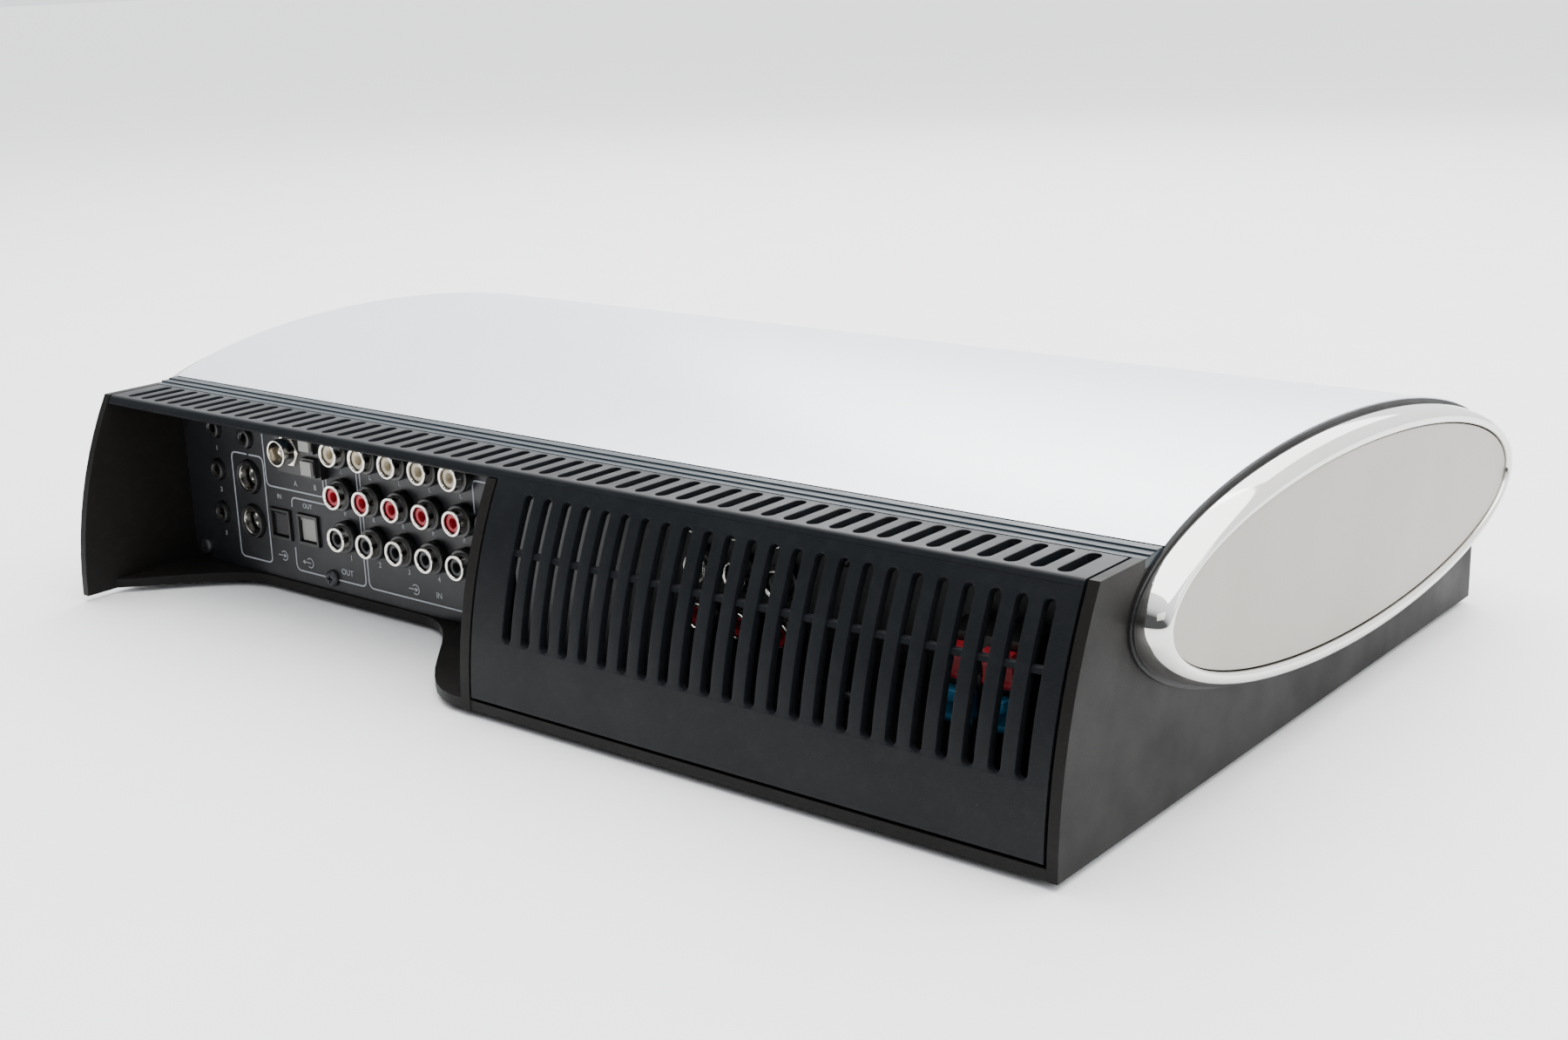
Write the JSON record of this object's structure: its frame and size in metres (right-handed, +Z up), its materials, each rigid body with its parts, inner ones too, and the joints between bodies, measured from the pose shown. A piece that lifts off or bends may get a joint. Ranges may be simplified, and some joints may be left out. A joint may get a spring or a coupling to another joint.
{
  "type": "stereo receiver",
  "caption": "Low, wide stereo receiver: oval silver body with polished end rings on a dark base, recessed connector bay, slotted lift-off back cover and a disc tray.",
  "frame": {"origin": "bottom centre of the bounding box, on the table under the rubber feet", "axes": "+X to the right seen from the front, +Y towards the connector side, +Z up"},
  "size_m": [0.3982, 0.2565, 0.0811],
  "materials": {
    "charcoal_plastic": "fine moulded texture",
    "cover_plastic": "fine moulded texture, lightly dusty",
    "rail_plastic": "smooth, blue grey",
    "silver_shell": "satin, very fine brushing",
    "frame_plastic": "fine moulded texture",
    "polished_chrome": "mirror polished",
    "satin_cap": "satin, warm silver",
    "gloss_black": "polished",
    "smoked_window": "smoked, polished",
    "button_plastic": "satin",
    "panel_black": "powder coated",
    "socket_black": "moulded",
    "nickel": "nickel plated",
    "ivory_plastic": "moulded",
    "red_plastic": "moulded",
    "black_plastic": "moulded",
    "blue_plastic": "moulded",
    "shutter_grey": "moulded",
    "tray_plastic": "fine moulded texture",
    "board_green": "solder resist",
    "zinc_steel": "zinc plated sheet",
    "dark_steel": "varnished laminations",
    "coil_tape": "polyester tape",
    "capacitor_sleeve": "shrink sleeve",
    "black_alloy": "black anodised",
    "foot_rubber": "soft rubber",
    "screw_steel": "zinc plated"
  },
  "bodies": {
    "chassis": {"base_housing": "charcoal_plastic", "trim_rail": "rail_plastic", "top_shell": "silver_shell", "left_end_frame": "frame_plastic", "right_end_frame": "frame_plastic", "left_end_ring": "polished_chrome", "right_end_ring": "polished_chrome", "left_end_cap": "satin_cap", "right_end_cap": "satin_cap", "front_fascia": "gloss_black", "display_window": "smoked_window", "display_board": "board_green", "key_board": "board_green", "main_board": "board_green", "transformer_core": "dark_steel", "transformer_coil": "coil_tape", "filter_capacitors": "capacitor_sleeve", "heat_sink": "black_alloy", "tuner_box": "zinc_steel", "drive_frame": "zinc_steel", "guide_rods": "screw_steel", "connector_panel": "panel_black", "video_phono_block": "socket_black", "phono_inserts_white": "ivory_plastic", "phono_inserts_red": "red_plastic", "phono_inserts_black": "black_plastic", "antenna_block": "socket_black", "optical_input": "socket_black", "optical_output": "socket_black", "mini_jacks": "socket_black", "speaker_terminals": "socket_black", "mains_inlet": "socket_black", "headphone_jack": "nickel", "rubber_feet": "foot_rubber", "case_screws": "screw_steel", "phono_stack_1": "socket_black", "phono_stack_2": "socket_black", "phono_stack_3": "socket_black", "phono_stack_4": "socket_black", "phono_stack_5": "socket_black", "din_socket_1": "socket_black", "din_socket_2": "socket_black", "din_socket_3": "socket_black"},
    "rear_cover": {"rear_cover": "cover_plastic"},
    "disc_tray": {"disc_tray": "tray_plastic", "tray_bezel": "gloss_black"},
    "turntable": {"turntable": "black_plastic"},
    "laser_sled": {"laser_sled": "black_plastic"},
    "input_shutter": {"input_shutter": "black_plastic"},
    "output_shutter": {"output_shutter": "shutter_grey"},
    "standby_button": {"standby_button": "button_plastic"},
    "source_button": {"source_button": "button_plastic"},
    "play_button": {"play_button": "button_plastic"},
    "open_button": {"open_button": "button_plastic"},
    "volume_down_button": {"volume_down_button": "button_plastic"},
    "volume_up_button": {"volume_up_button": "button_plastic"},
    "speaker_lever_1": {"speaker_lever_1": "blue_plastic"},
    "speaker_lever_2": {"speaker_lever_2": "blue_plastic"},
    "speaker_lever_3": {"speaker_lever_3": "red_plastic"},
    "speaker_lever_4": {"speaker_lever_4": "red_plastic"}
  },
  "joints": [
    {"name": "cover_lift_off", "type": "slide", "parent": "chassis", "child": "rear_cover", "axis": [0, 1, 0], "range_m": [0, 0.07]},
    {"name": "tray_slide", "type": "slide", "parent": "chassis", "child": "disc_tray", "axis": [0, -1, 0], "range_m": [0, 0.135]},
    {"name": "turntable_spin", "type": "hinge", "parent": "chassis", "child": "turntable", "pos_m": [0, -0.0582, 0.035], "axis": [0, 0, 1], "continuous": true},
    {"name": "sled_slide", "type": "slide", "parent": "chassis", "child": "laser_sled", "axis": [0, 1, 0], "range_m": [0, 0.034]},
    {"name": "input_shutter_hinge", "type": "hinge", "parent": "chassis", "child": "input_shutter", "pos_m": [0.1375, 0.0829, 0.0277], "axis": [-1, 0, 0], "range_deg": [0, 75], "stiffness_Nm_per_rad": 0.002},
    {"name": "output_shutter_hinge", "type": "hinge", "parent": "chassis", "child": "output_shutter", "pos_m": [0.123, 0.0829, 0.0277], "axis": [-1, 0, 0], "range_deg": [0, 75], "stiffness_Nm_per_rad": 0.002},
    {"name": "standby_button_press", "type": "slide", "parent": "chassis", "child": "standby_button", "axis": [0, 1, 0], "range_m": [0, 0.0008], "stiffness_N_per_m": 600},
    {"name": "source_button_press", "type": "slide", "parent": "chassis", "child": "source_button", "axis": [0, 1, 0], "range_m": [0, 0.0008], "stiffness_N_per_m": 600},
    {"name": "play_button_press", "type": "slide", "parent": "chassis", "child": "play_button", "axis": [0, 1, 0], "range_m": [0, 0.0008], "stiffness_N_per_m": 600},
    {"name": "open_button_press", "type": "slide", "parent": "chassis", "child": "open_button", "axis": [0, 1, 0], "range_m": [0, 0.0008], "stiffness_N_per_m": 600},
    {"name": "volume_down_button_press", "type": "slide", "parent": "chassis", "child": "volume_down_button", "axis": [0, 1, 0], "range_m": [0, 0.0008], "stiffness_N_per_m": 600},
    {"name": "volume_up_button_press", "type": "slide", "parent": "chassis", "child": "volume_up_button", "axis": [0, 1, 0], "range_m": [0, 0.0008], "stiffness_N_per_m": 600},
    {"name": "speaker_lever_1_hinge", "type": "hinge", "parent": "chassis", "child": "speaker_lever_1", "pos_m": [-0.1564, 0.0985, 0.022], "axis": [-1, 0, 0], "range_deg": [0, 30], "stiffness_Nm_per_rad": 0.03},
    {"name": "speaker_lever_2_hinge", "type": "hinge", "parent": "chassis", "child": "speaker_lever_2", "pos_m": [-0.145, 0.0985, 0.022], "axis": [-1, 0, 0], "range_deg": [0, 30], "stiffness_Nm_per_rad": 0.03},
    {"name": "speaker_lever_3_hinge", "type": "hinge", "parent": "chassis", "child": "speaker_lever_3", "pos_m": [-0.1564, 0.0985, 0.0336], "axis": [-1, 0, 0], "range_deg": [0, 30], "stiffness_Nm_per_rad": 0.03},
    {"name": "speaker_lever_4_hinge", "type": "hinge", "parent": "chassis", "child": "speaker_lever_4", "pos_m": [-0.145, 0.0985, 0.0336], "axis": [-1, 0, 0], "range_deg": [0, 30], "stiffness_Nm_per_rad": 0.03}
  ]
}
